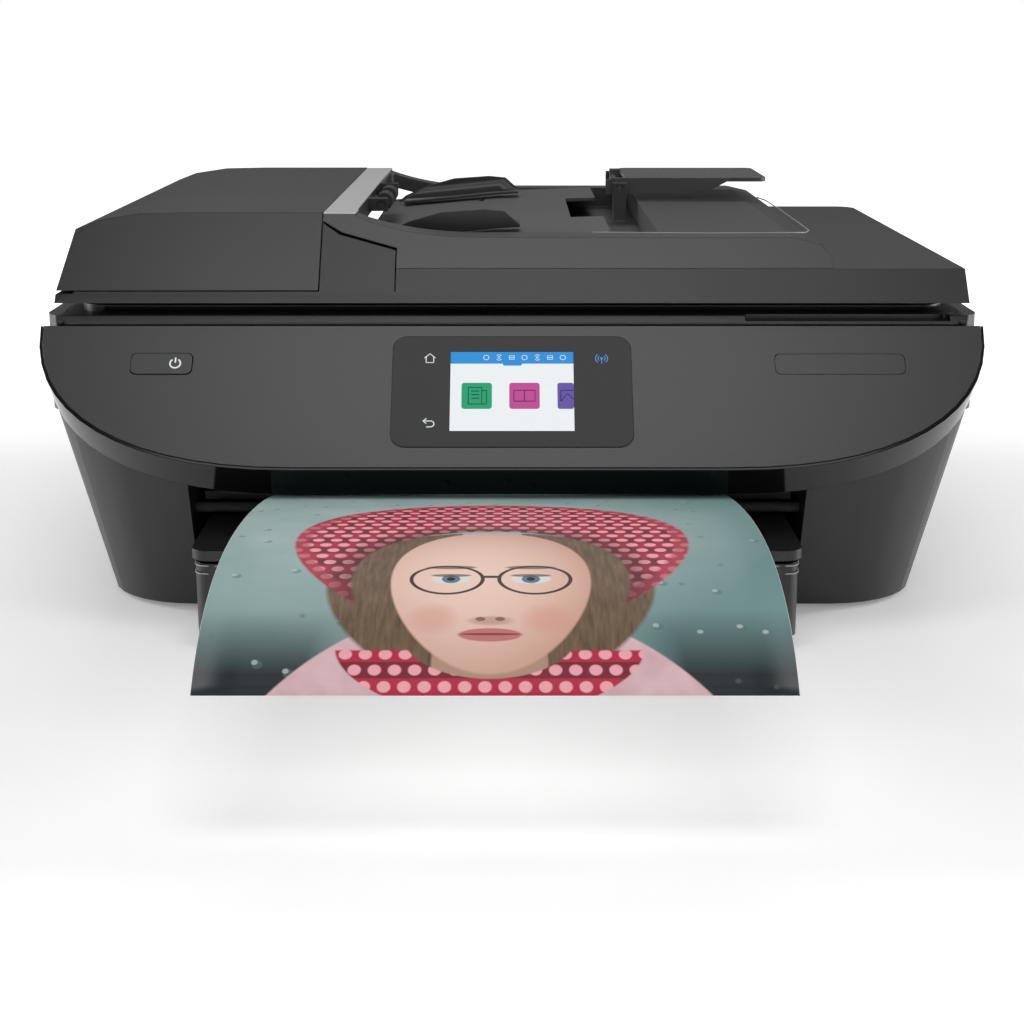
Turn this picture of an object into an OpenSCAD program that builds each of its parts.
// Inkjet printer with scanner and document feeder. X right, Y to the rear, Z up, floor at zero.

/* [Overall] */
// Width over the widest part of the scanner housing
body_w = 454; // [360:1:560]
// Distance from the vertical front-to-rear centre plane to the rear face of the lid
body_rear = 205; // [180:1:260]
// Distance from that plane to the front face of the trays
body_front = 205; // [190:1:260]
// General wall of the moulded shells
wall = 3; // [2:0.1:4]
// Gap between pieces that move past each other
gap = 0.5; // [0.3:0.05:1]
// Radial running clearance of shafts and pins
fit = 0.06; // [0.02:0.01:0.1]

/* [Lower body] */
// Height of the joint between the lower body and the scanner housing
seam_z = 100; // [90:1:120]
// How far each side leans in at the floor
side_draft = 19; // [0:1:24]
// Width of the paper bay
bay_w = 295; // [285:1:310]
// Offset of the paper bay to the left
bay_x = -7; // [-12:0.5:12]
// Height of the rubber feet
feet_h = 3; // [2:0.5:5]

/* [Control panel] */
// Angle of the panel from the horizontal
panel_tilt = 47.5; // [40:0.5:60]
// Height of the panel along its slope
panel_h = 78.4; // [60:0.2:90]
// Depth of the trim band behind the panel
band_d = 23; // [16:0.5:30]
// Width of the display bezel
bezel_w = 114; // [90:1:140]
// Height of the display bezel
bezel_h = 61.5; // [50:0.5:66]
// Visible width of the display
lcd_w = 58.6; // [40:0.2:80]
// Visible height of the display
lcd_h = 44; // [30:0.2:50]
// Travel of the power button
button_travel = 0.8; // [0.4:0.1:1.2]

/* [Scanner and lid] */
// Underside height of the lid
lid_z = 153; // [150:1:170]
// Thickness of the low right part of the lid
lid_h = 15; // [10:1:20]
// Height of the top of the document feeder
top_z = 193; // [185:1:215]
// Width of the scanner glass
glass_w = 300; // [298:1:310]
// Depth of the scanner glass
glass_d = 218; // [216:1:230]
// Centre of the glass in the front-to-rear direction
glass_y = 40; // [30:1:50]

/* [Paper path] */
// Width of the paper
paper_w = 216; // [210:1:216]
// Length of the paper
paper_l = 279; // [279:1:297]
// Radius of the feed roller
feed_r = 7; // [5:0.5:9]
// Radius of the exit roller
exit_r = 5; // [4:0.5:6]
// Radius of the belt pulleys
pulley_r = 6; // [5:0.5:8]

/* [Hidden] */
$fn = 48;
e = 0.01;
half_w = body_w / 2;
tan_t = tan(panel_tilt);
panel_y = -188.6;
panel_z = 84.5;
rear_y = body_rear - 13;
deck_z = lid_z - 6.2;
slope_run = 37;
front_lid_y = -133;
paper_x = bay_x + 1;
bay_l = bay_x - bay_w / 2;
bay_r = bay_x + bay_w / 2;
hinge_y = rear_y + 4;
hinge_z = seam_z + 4;
pin_r = 2;
lid_pin_y = body_rear - 7;
lid_pin_z = lid_z + 3;
tray_w = bay_w - 15;
tray_bottom = feet_h + 4;
tray_top = 42.5;
exit_y = -142;
exit_z = 54;
feed_y = -66;
feed_z = 55;
carriage_y = -100;
rod_y = -66;
rod_z = 92;
rod_r = 4;
belt_z = 86;
belt_y = -54;
belt_l = 370;
arm_y = 30;
arm_l = 44;
star_z = 68;
door_y = -92;
door_z = 64;
door_r = 29;
carriage_w = 96;
feet = [[-160, -90], [160, -90], [-160, 140], [160, 140], [0, 0]];

// ---- shapes that repeat ----

module round_rect(x0, y0, x1, y1, r) {
    translate([x0 + r, y0 + r]) square([x1 - x0 - 2 * r, y1 - y0 - 2 * r]);
    for (x = [x0 + r, x1 - r]) for (y = [y0 + r, y1 - r]) translate([x, y]) circle(r);
    translate([x0, y0 + r]) square([x1 - x0, y1 - y0 - 2 * r]);
    translate([x0 + r, y0]) square([x1 - x0 - 2 * r, y1 - y0]);
}

module block(x0, y0, z0, x1, y1, z1) {
    translate([x0, y0, z0]) cube([x1 - x0, y1 - y0, z1 - z0]);
}

// An outline in the Y-Z plane carried from x0 to x1
module along_x(x0, x1) {
    translate([x0, 0, 0]) rotate([90, 0, 90]) linear_extrude(x1 - x0) children();
}

// An outline in the X-Z plane carried from y0 to y1
module along_y(y0, y1) {
    translate([0, y1, 0]) rotate([90, 0, 0]) linear_extrude(y1 - y0) children();
}

module rod_x(x0, x1, y, z, r) {
    translate([x0, y, z]) rotate([0, 90, 0]) cylinder(h = x1 - x0, r = r);
}

module rod_y(y0, y1, x, z, r) {
    translate([x, y0, z]) rotate([-90, 0, 0]) cylinder(h = y1 - y0, r = r);
}

module gear_x(x0, x1, y, z, teeth, m, bore) {
    translate([x0, y, z]) rotate([0, 90, 0]) linear_extrude(x1 - x0) difference() {
        union() {
            circle(m * (teeth / 2 - 1.1));
            for (i = [0 : teeth - 1]) rotate(i * 360 / teeth)
                polygon([[0, -m * 0.75], [m * (teeth / 2 + 0.8), -m * 0.35],
                    [m * (teeth / 2 + 0.8), m * 0.35], [0, m * 0.75]]);
        }
        circle(bore);
    }
}

// Lower body: a tub that leans in towards the floor
module tub(inset, z0, z1) {
    lean = side_draft * (1 - (z0 - feet_h) / (seam_z - feet_h));
    hull() {
        translate([0, 0, z0]) linear_extrude(e) round_rect(-half_w + 2 + lean + inset,
            -180 + lean * 2.2 + inset, half_w - 2 - lean - inset, rear_y - inset,
            48 - inset, $fn = 32);
        translate([0, 0, z1 - e]) linear_extrude(e) round_rect(-half_w + 2 + inset,
            -60, half_w - 2 - inset, rear_y - inset, 46 - inset, $fn = 32);
        translate([0, 0, z1 - e]) linear_extrude(e) shoulder(inset);
    }
}

// Front of the tub at its top edge: wide elliptic corners that meet the trim band
module shoulder(inset) {
    corner_w = 100 - inset;
    corner_d = 70 - inset;
    n = 2.3;
    steps = 12;
    arc = [for (i = [0 : steps]) let (t = 90 * i / steps)
        [half_w - 2 - inset - corner_w + corner_w * pow(cos(t), 2 / n),
        -180 + inset + corner_d - corner_d * pow(sin(t), 2 / n)]];
    polygon(concat(arc, [for (i = [steps : -1 : 0]) [-arc[i][0], arc[i][1]]]));
}

// Where the front of the tub stands at a height
function front_at(z) = -180 + 2.2 * side_draft * (seam_z - z) / (seam_z - feet_h);

// Everything above and in front of the joint between the lower body and the top unit
module top_side(clear) {
    foot = panel_y + band_d * sin(panel_tilt);
    rise = panel_z - band_d * cos(panel_tilt);
    seam_y = foot + (seam_z - rise) / tan_t;
    along_x(-half_w - 20, half_w + 20) polygon([[rear_y + 30, seam_z - clear],
        [seam_y + clear, seam_z - clear], [foot + clear - 30 / tan_t, rise - 30],
        [-260, rise - 30], [-260, 260], [rear_y + 30, 260]]);
}

// Frame of the sloped panel: x right, y up the slope, z out of the panel
module on_panel() {
    translate([0, panel_y, panel_z]) rotate([panel_tilt, 0, 0]) children();
}

// D-shaped outline of the panel: flat top, wide elliptic lower corners
module d_outline(grow) {
    corner_w = 126;
    n = 2.3;
    steps = 14;
    arc = [for (i = [0 : steps]) let (t = 90 * i / steps)
        [half_w - 1 - corner_w + grow + corner_w * pow(cos(t), 2 / n),
        panel_h - (panel_h + grow) * pow(sin(t), 2 / n)]];
    polygon(concat(arc, [for (i = [steps : -1 : 0]) [-arc[i][0], arc[i][1]]]));
}

// ---- lower body ----

module door_outline(grow) {
    translate([door_y, door_z]) circle(door_r + grow);
    translate([door_y, door_z - door_r - grow]) square([30 + grow, 2 * (door_r + grow)]);
}

// Card door hinge line: it follows the lean of the side wall
module door_pin(r, longer) {
    lean = side_draft / (seam_z - feet_h);
    x = -half_w + 2 + lean * (seam_z - door_z) + wall / 2;
    translate([x, door_y + 27.5, door_z]) rotate([0, -atan(lean), 0])
        translate([0, 0, -door_r - longer]) cylinder(h = 2 * (door_r + longer), r = r);
}

module lower_shell() {
    color("#1b1b1d") difference() {
        union() {
            difference() {
                tub(0, feet_h, seam_z);
                tub(wall, feet_h - 1, seam_z + 1);
            }
            for (x = [bay_l - wall, bay_r]) along_x(x, x + wall)
                polygon([[-40, feet_h + 4], [-40, 49], [-134, 49], [-134, 74],
                    [front_at(74) + 1.5, 74], [front_at(feet_h + 4) + 1.5, feet_h + 4]]);
            for (x = [-150, 134]) difference() {
                block(x, rear_y - 8, seam_z - 12, x + 16, hinge_y + 4, hinge_z + 4);
                block(x + 4, rear_y - 9, seam_z - 2, x + 12, hinge_y + 5, hinge_z + 5);
            }
        }
        block(bay_l, -260, feet_h + 3, bay_r, -60, 130);
        rod_x(bay_l - wall - 1, bay_r + wall + 1, exit_y, exit_z, 2.5 + fit);
        door_pin(0.9 + fit, 4);
        difference() {
            top_side(gap);
            for (x = [-150, 134]) block(x, rear_y, seam_z - 1, x + 16, hinge_y + 5, hinge_z + 5);
        }
        for (x = [-150, 134]) rod_x(x - 1, x + 17, hinge_y, hinge_z, pin_r);
        along_x(-half_w - 1, -half_w + 60) door_outline(gap);
        block(-60, rear_y - 10, 24, 60, rear_y + 10, 62);
        block(120, rear_y - 10, 24, 160, rear_y + 10, 50);
    }
}

module base_pan() {
    color("#232325") difference() {
        intersection() {
            tub(wall + 0.1, feet_h - 1, seam_z);
            block(-half_w, -200, feet_h, half_w, 230, feet_h + 3);
        }
        for (p = feet) translate([p[0], p[1], feet_h - 1]) cylinder(h = 5, r = 3.1);
    }
}

module rubber_feet() {
    color("#111111") for (p = feet) {
        translate([p[0], p[1], 0]) cylinder(h = feet_h, r = 9);
        translate([p[0], p[1], 0]) cylinder(h = feet_h + 3, r = 3);
    }
}

module port_panel() {
    color("#2a2a2c") difference() {
        union() {
            block(-60 + gap, rear_y - 9, 24 + gap, 60 - gap, rear_y - 1, 62 - gap);
            block(-64, rear_y - 16, 20, 64, rear_y - 9, 66);
        }
        block(-52, rear_y - 14, 34, -38, rear_y, 46);
        block(-28, rear_y - 14, 34, -14, rear_y, 46);
        block(-4, rear_y - 14, 32, 12, rear_y, 46);
        block(28, rear_y - 14, 34, 40.5, rear_y, 45);
    }
}

module power_inlet() {
    color("#161616") difference() {
        block(120 + gap, rear_y - 24, 24 + gap, 160 - gap, rear_y - 2, 50 - gap);
        along_y(rear_y - 18, rear_y) round_rect(130, 30, 150, 44, 5);
    }
    color("#b8b8b8") for (x = [136, 144]) rod_y(rear_y - 19, rear_y - 8, x, 37, 1.2);
}

module card_reader() {
    color("#2c2c2e") difference() {
        block(-half_w + 40, -112, 44, -half_w + 62, -80, 86);
        block(-half_w + 39, -108, 72, -half_w + 58, -84, 76);
        block(-half_w + 39, -104, 52, -half_w + 58, -88, 60);
    }
}

module card_door() {
    color("#1c1c1e") {
        intersection() {
            difference() {
                tub(0, feet_h, seam_z);
                tub(wall - 0.4, feet_h - 1, seam_z + 1);
            }
            along_x(-half_w - 5, -half_w + 60) difference() {
                door_outline(0);
                translate([door_y + 27.5, 0]) square([10, 200]);
            }
        }
        door_pin(0.9, 2.5);
    }
}

// ---- print engine ----

module print_chassis() {
    color("#8d9093") difference() {
        union() {
            block(-200, belt_y + 10, 50, 200, belt_y + 12, 98);
            block(-200, -78, 50, -198, belt_y + 12, 98);
            block(198, -78, 50, 200, belt_y + 12, 98);
            block(-200, belt_y + 10, 50, 200, belt_y + 34, 52);
            for (x = [bay_x - 34, bay_x + 31]) block(x, belt_y + 33, 50, x + 3, arm_y + 6, 61);
        }
        rod_x(bay_x - 40, bay_x + 40, arm_y, feed_z, 2 + fit);
        for (x = [-1, 1]) rod_y(belt_y, belt_y + 20, x * belt_l / 2, belt_z, 2 + fit);
        rod_x(-205, 205, rod_y, rod_z, rod_r);
        rod_x(-205, 205, feed_y, feed_z, 3 + fit);
        for (x = [-180, -60, 60, 180]) translate([x, belt_y + 24, 45]) cylinder(h = 12, r = 1.6);
    }
}

module chassis_screws() {
    color("#c9c9c9") for (x = [-180, -60, 60, 180]) translate([x, belt_y + 24, 44]) {
        cylinder(h = 8, r = 1.6);
        translate([0, 0, 8]) cylinder(h = 2, r = 3);
    }
}

module carriage_rod() {
    color("#c4c8cc") rod_x(-203, 203, rod_y, rod_z, rod_r);
}

module carriage_belt() {
    color("#1a1a1a") for (z = [-1, 1])
        block(-belt_l / 2, belt_y - 2, belt_z + z * (pulley_r + 0.8) - 0.7, belt_l / 2, belt_y + 2,
            belt_z + z * (pulley_r + 0.8) + 0.7);
}

module pulley(x, hub) {
    rod_y(belt_y - 3, belt_y + 3, x, belt_z, pulley_r - 0.3);
    rod_y(belt_y - 3, hub, x, belt_z, 2);
}

module drive_pulley() {
    color("#d8d8d8") pulley(belt_l / 2, belt_y + 18);
}

module idler_pulley() {
    color("#d8d8d8") pulley(-belt_l / 2, belt_y + 13);
}

module carriage_motor() {
    color("#707376") difference() {
        rod_y(belt_y + 12, belt_y + 34, belt_l / 2, belt_z - 2, 11);
        rod_y(belt_y + 11, belt_y + 20, belt_l / 2, belt_z, 2.5);
    }
}

// The carriage parks at the right, over the service station
carriage_x = 140;

module cartridge_space(x, w, clear) {
    block(x - clear, -128 - clear, 68, x + w + clear, -84 + clear, 110);
}

module carriage() {
    color("#26282a") difference() {
        union() {
            block(carriage_x - carriage_w / 2, -132, 64, carriage_x + carriage_w / 2, -80, 98);
            block(carriage_x - 34, -81, 82, carriage_x + 34, -58, 98);
        }
        rod_x(carriage_x - 60, carriage_x + 60, rod_y, rod_z, rod_r + fit);
        cartridge_space(carriage_x - 43, 40, 0.4);
        cartridge_space(carriage_x + 3, 40, 0.4);
        for (x = [-43, 3]) block(carriage_x + x + 11, -134, 95, carriage_x + x + 29, -127, 99);
        block(carriage_x - 38, -124, 60, carriage_x - 8, -88, 70);
        block(carriage_x + 8, -124, 60, carriage_x + 38, -88, 70);
    }
}

module cartridge(x) {
    difference() {
        union() {
            block(x, -128, 69, x + 40, -84, 100);
            block(x + 12, -131, 96, x + 28, -128, 99.5);
        }
        block(x + 6, -122, 99, x + 34, -90, 101);
    }
}

module black_cartridge() {
    color("#1e1e20") cartridge(carriage_x + 3);
}

module colour_cartridge() {
    color("#3a4a8a") cartridge(carriage_x - 43);
}

module service_station() {
    color("#3a3c3f") difference() {
        block(bay_r + 4, -126, 50, 194, -84, 62);
        block(bay_r + 8, -120, 56, 190, -90, 63);
    }
}

module platen() {
    color("#2b2b2d") difference() {
        block(bay_l + 2, -130, 55, bay_r - 2, -76, 59);
        for (i = [-10 : 10]) block(bay_x + i * 12 - 1, -126, 57, bay_x + i * 12 + 1, -80, 60);
    }
}

module feed_roller() {
    color("#6d7073") rod_x(-201.5, 201.5, feed_y, feed_z, 3);
    color("#2f3133") for (i = [-2 : 2]) difference() {
        rod_x(bay_x + i * 48 - 14, bay_x + i * 48 + 14, feed_y, feed_z, feed_r);
        rod_x(bay_x + i * 48 - 15, bay_x + i * 48 + 15, feed_y, feed_z, 3);
    }
}

module feed_gear() {
    color("#e0dfd8") gear_x(-196.5, -190.5, feed_y, feed_z, 30, 0.9, 3);
}

module feed_pinion() {
    color("#c8a75a") gear_x(-196.5, -190.5, feed_y, feed_z + 19.6, 10, 0.9, 1.5);
    color("#bdbdbd") rod_x(-196.5, -178, feed_y, feed_z + 19.6, 1.5);
}

module feed_motor() {
    color("#707376") difference() {
        rod_x(-181, -163, feed_y, feed_z + 19.6, 8);
        rod_x(-184, -176, feed_y, feed_z + 19.6, 1.5 + fit);
    }
}

module exit_roller() {
    color("#6d7073") rod_x(bay_l - wall, bay_r + wall, exit_y, exit_z, 2.5);
    color("#2f3133") for (i = [-2 : 2]) difference() {
        rod_x(bay_x + i * 50 - 6, bay_x + i * 50 + 6, exit_y, exit_z, exit_r);
        rod_x(bay_x + i * 50 - 7, bay_x + i * 50 + 7, exit_y, exit_z, 2.5);
    }
}

module star_wheels() {
    color("#d0d0d0") rod_x(bay_l, bay_r, exit_y + 3, star_z, 1.2);
    color("#a9a9a9") for (i = [-4 : 4])
        translate([bay_x + i * 24, exit_y + 3, star_z]) rotate([0, 90, 0])
            linear_extrude(1) difference() {
                union() {
                    circle(4);
                    for (k = [0 : 11]) rotate(k * 30) polygon([[3, -0.7], [4.8, 0], [3, 0.7]]);
                }
                circle(1.2);
            }
}

module pickup_arm() {
    color("#3b3d40") difference() {
        union() {
            rod_x(bay_x - 26, bay_x + 26, arm_y, feed_z, 6);
            for (x = [-26, 20]) block(bay_x + x, arm_y, feed_z - 24, bay_x + x + 6, arm_y + arm_l + 4,
                feed_z + 4);
        }
        rod_x(bay_x - 30, bay_x + 30, arm_y + arm_l - 6, feed_z - 14, 2.5 + fit);
        block(bay_x - 19.5, arm_y + 20, 0, bay_x + 19.5, arm_y + arm_l + 10, 90);
    }
    color("#8a8d90") rod_x(bay_x - 33.5, bay_x + 33.5, arm_y, feed_z, 2);
}

module pickup_roller() {
    color("#2f3133") rod_x(bay_x - 18, bay_x + 18, arm_y + arm_l - 6, feed_z - 14, 11);
    color("#6d7073") rod_x(bay_x - 27, bay_x + 27, arm_y + arm_l - 6, feed_z - 14, 2.5);
}

module main_board() {
    color("#1f6b3a") block(half_w - 60, -10, 20, half_w - 57, rear_y - 40, 86);
    color("#1a1a1a") for (y = [20, 60, 100]) block(half_w - 62, y, 40, half_w - 60, y + 18, 58);
    color("#c0c0c0") for (z = [26, 74]) block(half_w - 64, 130, z, half_w - 60, 142, z + 8);
}

module power_supply() {
    color("#2a2a2c") difference() {
        block(-half_w + 30, -14, 10, -half_w + 62, 96, 49);
        for (y = [-4 : 12 : 80]) block(-half_w + 29, y, 20, -half_w + 31, y + 5, 42);
    }
}

// ---- trays and paper ----

module paper_tray() {
    x0 = bay_x - tray_w / 2;
    x1 = bay_x + tray_w / 2;
    color("#1d1d1f") difference() {
        union() {
            translate([0, 0, tray_bottom]) linear_extrude(tray_top - tray_bottom)
                round_rect(x0, -body_front, x1, 96, 9);
        }
        block(x0 + wall, -body_front + wall, tray_bottom + 2, x1 - wall, 96 - wall, tray_top + 1);
        block(bay_x - 24, -body_front - 1, tray_bottom + 4, bay_x + 24, -body_front + 2,
            tray_bottom + 14);
        block(x0 - 1, -body_front - 1, 23, x1 + 1, -body_front + 0.8, 24);
        block(bay_x - 34, 90, 28, bay_x + 34, 100, tray_top + 1);
        block(bay_x - 110, -60, tray_bottom - 1, bay_x - 10, -52, tray_bottom + 3);
        block(bay_x + 10, -60, tray_bottom - 1, bay_x + 110, -52, tray_bottom + 3);
    }
}

module width_guide(side) {
    x = bay_x + side * (paper_w / 2 + 1);
    block(min(x, x + side * 2), -110, tray_bottom + 2, max(x, x + side * 2), 0, tray_bottom + 24);
    block(min(x, x - side * 14), -100, tray_bottom + 2, max(x, x - side * 14), -10,
        tray_bottom + 3.5);
    block(min(x - side * 2, x - side * 12), -59.5, tray_bottom + 0.2,
        max(x - side * 2, x - side * 12), -52.5, tray_bottom + 2.2);
}

module width_guide_left() {
    color("#4a4d52") width_guide(-1);
}

module width_guide_right() {
    color("#4a4d52") width_guide(1);
}

module length_guide() {
    color("#4a4d52") difference() {
        union() {
            block(bay_x - 16, -198, tray_bottom + 2.2, bay_x + 16, -150, tray_bottom + 4);
            block(bay_x - 16, -194, tray_bottom + 2.2, bay_x + 16, -191, tray_bottom + 26);
        }
        block(bay_x - 8, -186, tray_bottom, bay_x + 8, -158, tray_bottom + 6);
    }
}

out_z = 44;
out_h = 4.8;

module output_tray() {
    x0 = bay_l + 6;
    x1 = bay_r - 6;
    color("#1d1d1f") difference() {
        translate([0, 0, out_z]) linear_extrude(out_h)
            round_rect(x0, -body_front, x1, -80, 9);
        block(bay_x - 50 - gap, -body_front - 1, out_z + 1.6, bay_x + 50 + gap, -84, out_z + 5);
    }
}

module output_extender() {
    color("#242426") difference() {
        translate([0, 0, out_z + 1.9]) linear_extrude(2.6)
            round_rect(bay_x - 50, -body_front + 1, bay_x + 50, -86, 6);
        block(bay_x - 40 - gap, -body_front - 1, out_z + 1, bay_x + 40 + gap, -body_front + 20,
            out_z + 6);
        rod_x(bay_x - 45, bay_x + 45, -body_front + 18, out_z + 3.2, 0.8 + fit);
    }
}

module extender_stop() {
    color("#2a2a2c") {
        block(bay_x - 40, -body_front + 2, out_z + 2.2, bay_x + 40, -body_front + 18, out_z + 4.2);
        rod_x(bay_x - 44, bay_x + 44, -body_front + 18, out_z + 3.2, 0.8);
    }
}

// Side profile of the sheet: it rises out of the slot, levels off and droops under its own weight
sheet_t = 0.4;
sheet_n = 30;
sheet_y = -141;
sheet_z = 60.4;
function sheet_angle(u) = 12 - 14 * u - 40 * pow(u, 5);
function sheet_y_at(i) = i == 0 ? sheet_y
    : sheet_y_at(i - 1) - paper_l / sheet_n * cos(sheet_angle((i - 0.5) / sheet_n));
function sheet_z_at(i) = i == 0 ? sheet_z
    : sheet_z_at(i - 1) + paper_l / sheet_n * sin(sheet_angle((i - 0.5) / sheet_n));

module printed_sheet() {
    line = [for (i = [0 : sheet_n]) [sheet_y_at(i), sheet_z_at(i)]];
    color("#9fb8b6") along_x(paper_x - paper_w / 2, paper_x + paper_w / 2)
        polygon(concat(line, [for (i = [sheet_n : -1 : 0]) [line[i][0], line[i][1] + sheet_t]]));
}

// ---- scanner unit ----

module unit_outline(inset) {
    round_rect(-half_w + inset, -134 + inset, half_w - inset, rear_y - inset, 16);
}

// Side profile of the housing behind the trim band
module housing_side(inset) {
    foot = panel_y + band_d * sin(panel_tilt);
    rise = panel_z - band_d * cos(panel_tilt);
    top = panel_h + 0.8;
    polygon([[rear_y + 1, seam_z - 1], [rear_y + 1, deck_z - inset],
        [panel_y + top * cos(panel_tilt) + 4 + inset, deck_z - inset],
        [panel_y + top * cos(panel_tilt) + inset, panel_z + top * sin(panel_tilt)],
        [foot + top * cos(panel_tilt) + inset, rise + top * sin(panel_tilt)],
        [foot + (seam_z - 1 - rise) / tan_t + inset, seam_z - 1]]);
}

module scanner_housing() {
    lug = 7.4;
    color("#1b1b1d") difference() {
        union() {
            difference() {
                intersection() {
                    along_x(-half_w, half_w) housing_side(0);
                    translate([0, 0, seam_z]) linear_extrude(100) unit_outline(0);
                }
                intersection() {
                    along_x(-half_w, half_w) housing_side(wall);
                    translate([0, 0, seam_z - 5]) linear_extrude(100) unit_outline(wall);
                }
                translate([0, 0, deck_z - wall - 1]) linear_extrude(10) unit_outline(7);
                for (x = [-142, 142])
                    block(x - 9.5, rear_y - 8, seam_z - 2, x + 9.5, rear_y + 2, hinge_z + 9);
            }
            for (x = [-142, 142]) {
                rod_x(x - lug / 2, x + lug / 2, hinge_y, hinge_z, 4);
                block(x - lug / 2, rear_y - 2, hinge_z, x + lug / 2, hinge_y + 3.9, hinge_z + 15);
            }
            for (x = [-120, 112]) {
                block(x - 4, rear_y - 1, deck_z - 14, x, lid_pin_y + 4, lid_pin_z);
                block(x + 12, rear_y - 1, deck_z - 14, x + 16, lid_pin_y + 4, lid_pin_z);
                rod_x(x - 4, x, lid_pin_y, lid_pin_z, 4);
                rod_x(x + 12, x + 16, lid_pin_y, lid_pin_z, 4);
            }
        }
        for (x = [-142, 142]) rod_x(x - 5, x + 5, hinge_y, hinge_z, pin_r + fit);
        for (x = [-120, 112]) rod_x(x - 5, x + 17, lid_pin_y, lid_pin_z, 2 + fit);
        translate([0, 0, deck_z - 2.4]) linear_extrude(4) round_rect(113, -160, 212, -126, 3);
    }
}

module hinge_pins() {
    color("#b4b8bb") for (x = [-142, 142]) rod_x(x - 8, x + 8, hinge_y, hinge_z, pin_r);
}

module scanner_base() {
    color("#2b2b2d") difference() {
        translate([0, 0, 113]) linear_extrude(3)
            round_rect(-half_w + wall + 0.2, -118, half_w - wall - 0.2,
                rear_y - wall - 0.2, 15);
        block(carriage_x - 60, -90, 112, carriage_x + 60, -84, 114.5);
    }
}

module scanner_deck() {
    color("#19191b") difference() {
        union() {
            translate([0, 0, deck_z - wall - 1]) linear_extrude(4) unit_outline(7.3);
            translate([0, 0, deck_z - e]) linear_extrude(3.5) unit_outline(14);
        }
        block(-glass_w / 2, glass_y - glass_d / 2, 130, glass_w / 2, glass_y + glass_d / 2, 160);
        block(-188, glass_y - glass_d / 2, 130, -166, glass_y + glass_d / 2, 160);
    }
}

module scanner_glass() {
    color("#9db4b4") {
        block(-glass_w / 2, glass_y - glass_d / 2, deck_z + 0.4, glass_w / 2,
            glass_y + glass_d / 2, deck_z + 3.4);
        block(-188, glass_y - glass_d / 2, deck_z + 0.4, -166, glass_y + glass_d / 2,
            deck_z + 3.4);
    }
}

module scan_rod() {
    color("#c4c8cc") rod_x(-half_w + wall, half_w - wall, glass_y, 121, 3);
}

module scan_head() {
    color("#2f3133") difference() {
        union() {
            block(-189, glass_y - glass_d / 2 - 4, 126, -165, glass_y + glass_d / 2 + 4, 140);
            block(-189, glass_y - 8, 117.5, -165, glass_y + 8, 127);
        }
        rod_x(-190, -164, glass_y, 121, 3 + fit);
        block(-181, glass_y - glass_d / 2, 136, -173, glass_y + glass_d / 2, 141);
    }
}

module trim_band() {
    color("#0c0c0d") on_panel() difference() {
        translate([0, 0, -band_d]) linear_extrude(band_d) d_outline(1.5);
        translate([0, 0, -2.6]) linear_extrude(3) d_outline(0.3);
        translate([0, 0, -band_d + 2.5]) linear_extrude(30) d_outline(-9);
        translate([-70, 8, -band_d - 1]) cube([140, 60, 10]);
    }
}

button_x = -167.3;
button_y = 56.7;
button_w = 29;
button_h = 11.5;
plate_x = 156.6;
bezel_y = 41.4;

module control_panel() {
    color("#2c2c2e") on_panel() difference() {
        translate([0, 0, -2.6]) linear_extrude(2.8) d_outline(0);
        translate([0, 0, -5]) linear_extrude(10) round_rect(-bezel_w / 2, bezel_y - bezel_h / 2,
            bezel_w / 2, bezel_y + bezel_h / 2, 7);
        translate([0, 0, -5]) linear_extrude(10) round_rect(button_x - button_w / 2 - 0.35,
            button_y - button_h / 2 - 0.35, button_x + button_w / 2 + 0.35,
            button_y + button_h / 2 + 0.35, 3);
        translate([0, 0, -0.8]) linear_extrude(2) round_rect(plate_x - 31.2, button_y - 5.9,
            plate_x + 31.2, button_y + 5.9, 3);
    }
}

module nameplate() {
    color("#242426") on_panel() translate([0, 0, -0.8]) linear_extrude(0.9)
        round_rect(plate_x - 31, button_y - 5.7, plate_x + 31, button_y + 5.7, 3);
}

module display_bezel() {
    color("#08080a") on_panel() difference() {
        translate([0, 0, -4]) linear_extrude(4.5) round_rect(-bezel_w / 2, bezel_y - bezel_h / 2,
            bezel_w / 2, bezel_y + bezel_h / 2, 7);
        translate([-lcd_w / 2, bezel_y - lcd_h / 2, -5]) cube([lcd_w, lcd_h, 10]);
    }
}

module lcd_screen() {
    color("#e8f2f6") on_panel() translate([-lcd_w / 2, bezel_y - lcd_h / 2, -4])
        cube([lcd_w, lcd_h, 4.2]);
}

module power_button() {
    color("#2a2a2c") on_panel() {
        translate([0, 0, -2.4]) linear_extrude(3) round_rect(button_x - button_w / 2,
            button_y - button_h / 2, button_x + button_w / 2, button_y + button_h / 2, 3);
        translate([button_x - 4, button_y - 3, -6]) cube([8, 6, 4]);
    }
}

// ---- lid and document feeder ----

cover_x = -57;
strip_x = -94;
floor_x = 50;
platform_x = 157;
rim_z = 181.7;
feeder_back = body_rear - 3;
cover_lugs = [-50, 150];
lid_in = 6;
cover_pin_x = -half_w + lid_in + 2.5;
cover_pin_z = lid_z + 7.6;
flap_x = 64;
flap_z = 189;

module lid_outline(inset) {
    round_rect(-half_w + lid_in + inset, front_lid_y - 20, half_w - lid_in - inset,
        body_rear - inset, 12);
}

// Sloped front of the lid and feeder
module lid_side(top, inset) {
    k = slope_run / (top_z - lid_z);
    polygon([[body_rear - inset, lid_z], [body_rear - inset, top],
        [front_lid_y + inset + (top - lid_z) * k, top], [front_lid_y + inset, lid_z]]);
}

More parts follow.
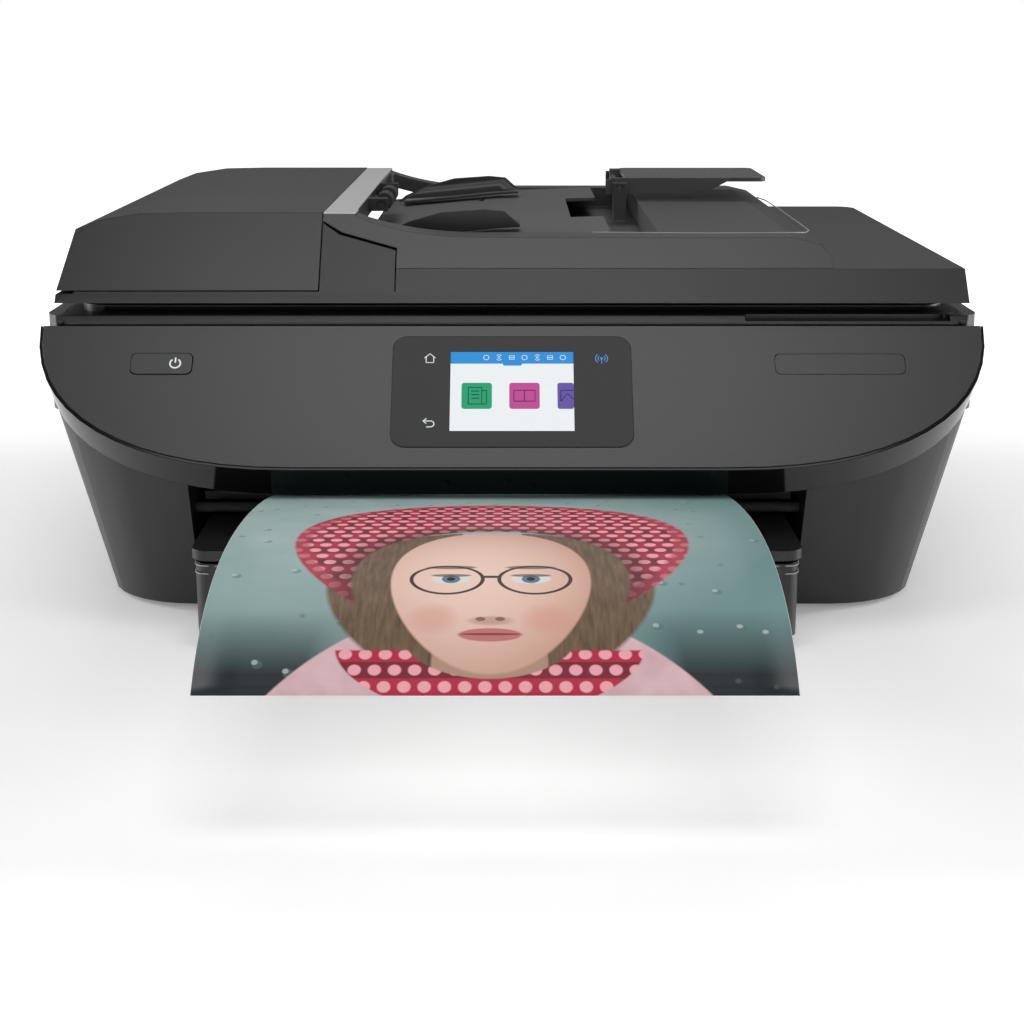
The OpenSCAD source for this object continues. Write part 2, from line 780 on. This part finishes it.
module lid_shell() {
    top = lid_z + lid_h;
    color("#1c1c1e") difference() {
        union() {
            difference() {
                intersection() {
                    along_x(-half_w, half_w) lid_side(top, 0);
                    translate([0, 0, lid_z]) linear_extrude(lid_h) lid_outline(0);
                }
                translate([-half_w - 1, -200, lid_z + 5])
                    cube([half_w + 1 + cover_x + gap, 500, 60]);
            }
            for (x = [-120, 112]) {
                rod_x(x + 0.5, x + 11.5, lid_pin_y, lid_pin_z, 3.6);
                rod_x(x - 4, x + 16, lid_pin_y, lid_pin_z, 2);
            }
            intersection() {
                along_x(strip_x + gap, cover_x) lid_side(190, 0);
                along_y(-140, -90) polygon([[strip_x + gap, lid_z + 1], [strip_x + gap, 188.2],
                    [strip_x + 9, 183], [cover_x, 176], [cover_x, lid_z + 1]]);
            }
            for (y = cover_lugs) {
                rod_y(y - 6, y + 6, cover_pin_x, cover_pin_z, 3);
                block(cover_pin_x - 2.4, y - 6, lid_z + 2, cover_pin_x + 3, y + 6, cover_pin_z);
            }
        }
        for (y = cover_lugs) rod_y(y - 7, y + 7, cover_pin_x, cover_pin_z, 1.6 + fit);
        difference() {
            block(-half_w - 1, -140, lid_z + 3.8, cover_pin_x + 6, body_rear + 1, lid_z + 6);
            for (y = cover_lugs) block(-half_w - 2, y - 6, 150, 0, y + 6, 170);
        }
        block(-half_w + 20, -100, lid_z - 1, half_w - 20, body_rear - 30, lid_z + 2);
        for (x = [-120, 112]) {
            difference() {
                block(x - 4.6, lid_pin_y - 11, lid_z - 1, x + 16.6, body_rear + 1, lid_z + 9);
                rod_x(x - 4, x + 16, lid_pin_y, lid_pin_z, 2);
                block(x + 0.5, lid_pin_y - 12, lid_z, x + 11.5, lid_pin_y + 3.6, lid_z + 10);
            }
        }
    }
}

module lid_backing() {
    color("#e9e9e6") block(-192, glass_y - glass_d / 2 - 6, lid_z - 2.5, glass_w / 2 + 8,
        glass_y + glass_d / 2 + 6, lid_z + 2);
}

// Top line of the feeder frame seen from the front: high at the cover, sweeping down to the tray
function sweep_z(x) = rim_z + (top_z - rim_z) * pow((cover_x + 37 - x) / (cover_x + 37 - strip_x), 2.6);

module feeder_profile() {
    xs = [for (i = [0 : 10]) strip_x + gap + 16 + i * (cover_x + 37 - strip_x - 16) / 10];
    polygon(concat([[strip_x + gap, top_z], [strip_x + gap + 16, top_z]],
        [for (x = xs) [x, min(top_z, sweep_z(x - 12) )]],
        [[platform_x - 18, rim_z], [platform_x - 5, rim_z - 3], [platform_x, rim_z - 9],
        [platform_x, lid_z + lid_h], [cover_x + gap, lid_z + lid_h],
        [cover_x + gap, 177], [strip_x + 10, 184], [strip_x + gap, 189]]));
}

module feeder_frame() {
    color("#3a3a3c") difference() {
        union() {
            difference() {
                intersection() {
                    along_y(-140, feeder_back) feeder_profile();
                    along_x(-half_w, half_w) lid_side(top_z + 1, 0);
                }
                translate([0, 0, lid_z + lid_h + 1.5]) linear_extrude(60)
                    round_rect(strip_x + 16, -82, floor_x + 24, 186, 6);
                block(strip_x + 12, -82, lid_z + lid_h + 1.5, floor_x, 186, 176);
            }
            block(flap_x - 4, 94, lid_z + lid_h, flap_x + 4, 100, flap_z + 3);
            block(flap_x - 4, 186, lid_z + lid_h + 8, flap_x + 4, 190, flap_z + 3);
            for (y = [-6, 92]) block(strip_x + 12, y, 185, roller_x + 3.5, y + 4, 192);
        }
        rod_y(90, 192, flap_x, flap_z, 1.8 + fit);
        rod_y(-8, 98, roller_x, roller_z, 2.5 + fit);
    }
}

roller_x = -71;
roller_z = 188;

module feeder_tray() {
    color("#4a4a4c") difference() {
        along_y(-81.6, 185.6) polygon([[strip_x + 16.4, 174], [-10, 180], [floor_x, 182],
            [floor_x, 180], [-10, 178], [strip_x + 16.4, 172]]);
        block(floor_x - 18, -2, 170, floor_x + 1, 112, 190);
        for (y = [-44, 118]) block(-20, y, 170, -17, y + 16, 190);
    }
    color("#4a4a4c") block(-30, -81.6, lid_z + lid_h + 1.5, -24, 185.6, 176.5);
}

module feeder_roller() {
    color("#c9c9c9") rod_y(-5.5, 95.5, roller_x, roller_z, 2.5);
    color("#33363a") for (y = [18, 54]) difference() {
        rod_y(y, y + 18, roller_x, roller_z, 4.8);
        rod_y(y - 1, y + 19, roller_x, roller_z, 2.5);
    }
}

module feeder_cover() {
    color("#1e1e20") difference() {
        intersection() {
            along_x(-half_w, half_w) lid_side(top_z, 0);
            translate([0, 0, lid_z + 5.4]) linear_extrude(60) lid_outline(0);
            along_y(-140, body_rear) polygon([[-half_w + lid_in, lid_z + 5.4], [-half_w + 11.5, 185.5],
                [-half_w + 22, 189.5], [-half_w + 42, 192.5], [-half_w + 67, top_z],
                [strip_x, top_z], [strip_x, lid_z + 5.4]]);
        }
        block(-half_w + 24, -92, lid_z, strip_x - wall, body_rear - wall, 187);
        block(strip_x - wall - 1, -76, lid_z, strip_x + 1, 180, 184);
        block(-125, lid_pin_y - 2, lid_z, -103, body_rear + 1, lid_z + 12);
        for (y = cover_lugs)
            block(-half_w, y - 7, lid_z, cover_pin_x + 8, y + 7, cover_pin_z + 7);
    }
    color("#8a8d90") for (y = cover_lugs)
        rod_y(y - 8, y + 8, cover_pin_x, cover_pin_z, 1.6);
}

guide_y = 108;

module guide(side) {
    y = glass_y + side * guide_y;
    along_y(y - 1, y + 1) polygon([[-70, 176.6], [-66, 180], [-52, 186], [-36, 190.5], [-14, 192],
        [-4, 191], [4, 184], [4, 183], [-10, 182], [-70, 176]]);
    along_y(min(y, y - side * 18), max(y, y - side * 18)) polygon([[-66, 176.5], [-10, 182],
        [4, 183], [4, 184.2], [-10, 183.4], [-66, 178]]);
}

module rear_guide() {
    color("#333335") guide(1);
}

module front_guide() {
    color("#333335") guide(-1);
}

module tray_flap() {
    color("#444446") {
        translate([0, 0, 192]) linear_extrude(2.4) round_rect(flap_x + 4, 104, 152, 184, 5);
        along_y(102, 104.4) polygon([[flap_x - 8, 193], [flap_x - 8, 184.5], [105, 184.5],
            [118, 187], [128, 192], [130, 194.4], [flap_x - 4, 194.4]]);
        block(flap_x - 2, 176, 186, flap_x + 10, 184, 194);
    }
    color("#bfbfbf") rod_y(94.5, 189.5, flap_x, flap_z, 1.8);
}

lower_shell();
base_pan();
rubber_feet();
port_panel();
power_inlet();
card_reader();
card_door();
print_chassis();
chassis_screws();
carriage_rod();
carriage_belt();
carriage_motor();
drive_pulley();
idler_pulley();
carriage();
black_cartridge();
colour_cartridge();
service_station();
platen();
feed_roller();
feed_gear();
feed_pinion();
feed_motor();
exit_roller();
star_wheels();
pickup_arm();
pickup_roller();
main_board();
power_supply();
hinge_pins();
paper_tray();
width_guide_left();
width_guide_right();
length_guide();
output_tray();
output_extender();
extender_stop();
printed_sheet();
scanner_housing();
scanner_base();
scanner_deck();
scanner_glass();
scan_rod();
scan_head();
trim_band();
control_panel();
display_bezel();
lcd_screen();
nameplate();
power_button();
lid_shell();
lid_backing();
feeder_frame();
feeder_tray();
feeder_roller();
rear_guide();
front_guide();
tray_flap();
feeder_cover();
